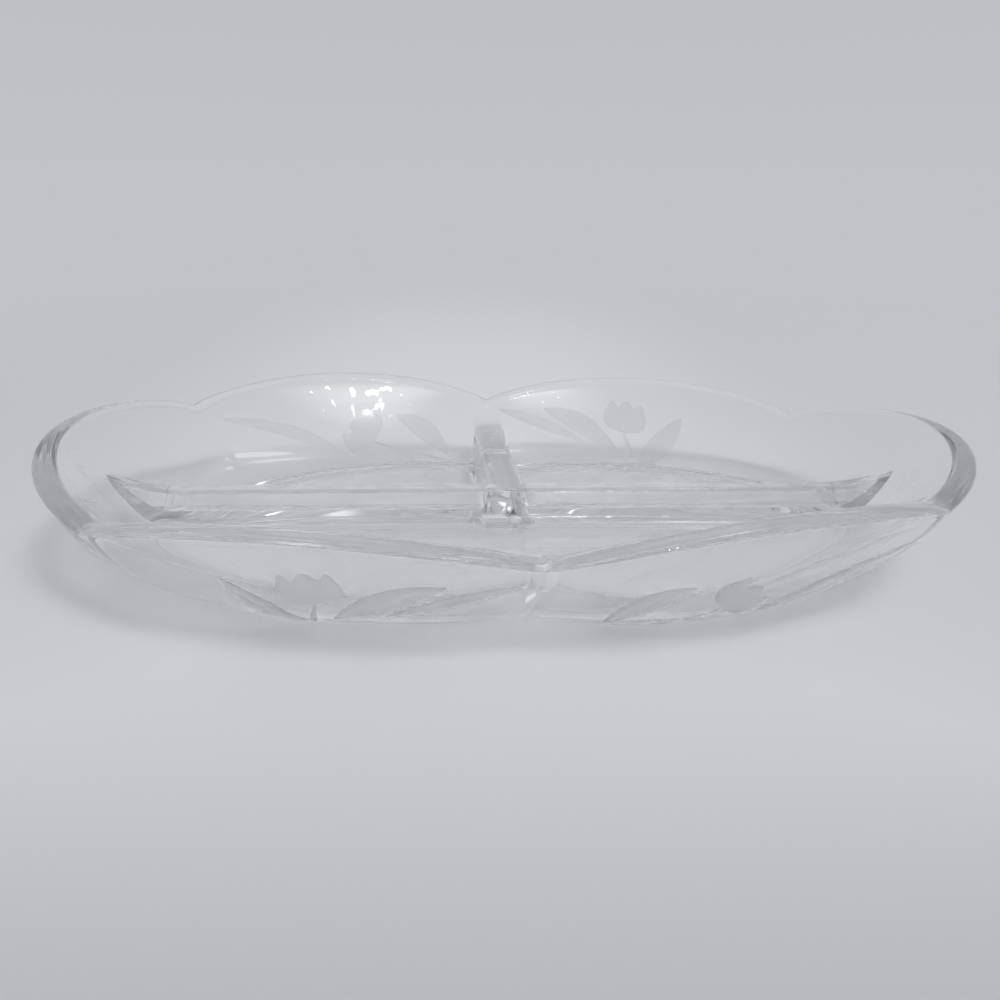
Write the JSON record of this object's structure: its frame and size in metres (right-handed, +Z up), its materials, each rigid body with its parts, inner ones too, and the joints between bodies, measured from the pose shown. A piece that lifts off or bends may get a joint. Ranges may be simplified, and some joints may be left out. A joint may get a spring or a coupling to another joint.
{
  "type": "relish tray",
  "caption": "Clear pressed-glass relish tray with a swirled, lobed boat shape, divider ribs and satin tulip sprays in low relief.",
  "frame": {"origin": "middle of the foot, on the surface that the tray stands on", "axes": "+X along the tray, +Y towards the half with the cross divider, +Z up"},
  "size_m": [0.2994, 0.1612, 0.041],
  "materials": {
    "clear_glass": "fire-polished pressed soda-lime glass, clear",
    "satin_glass": "acid-etched satin on raised pressed relief"
  },
  "bodies": {
    "root": {"tray_shell": "clear_glass", "foot_ring": "clear_glass", "long_divider": "clear_glass", "cross_divider": "clear_glass", "front_left_bloom": "satin_glass", "front_left_leaves": "satin_glass", "front_right_bloom": "satin_glass", "front_right_leaves": "satin_glass", "back_right_bloom": "satin_glass", "back_right_leaves": "satin_glass", "back_left_bloom": "satin_glass", "back_left_leaves": "satin_glass"}
  },
  "joints": []
}
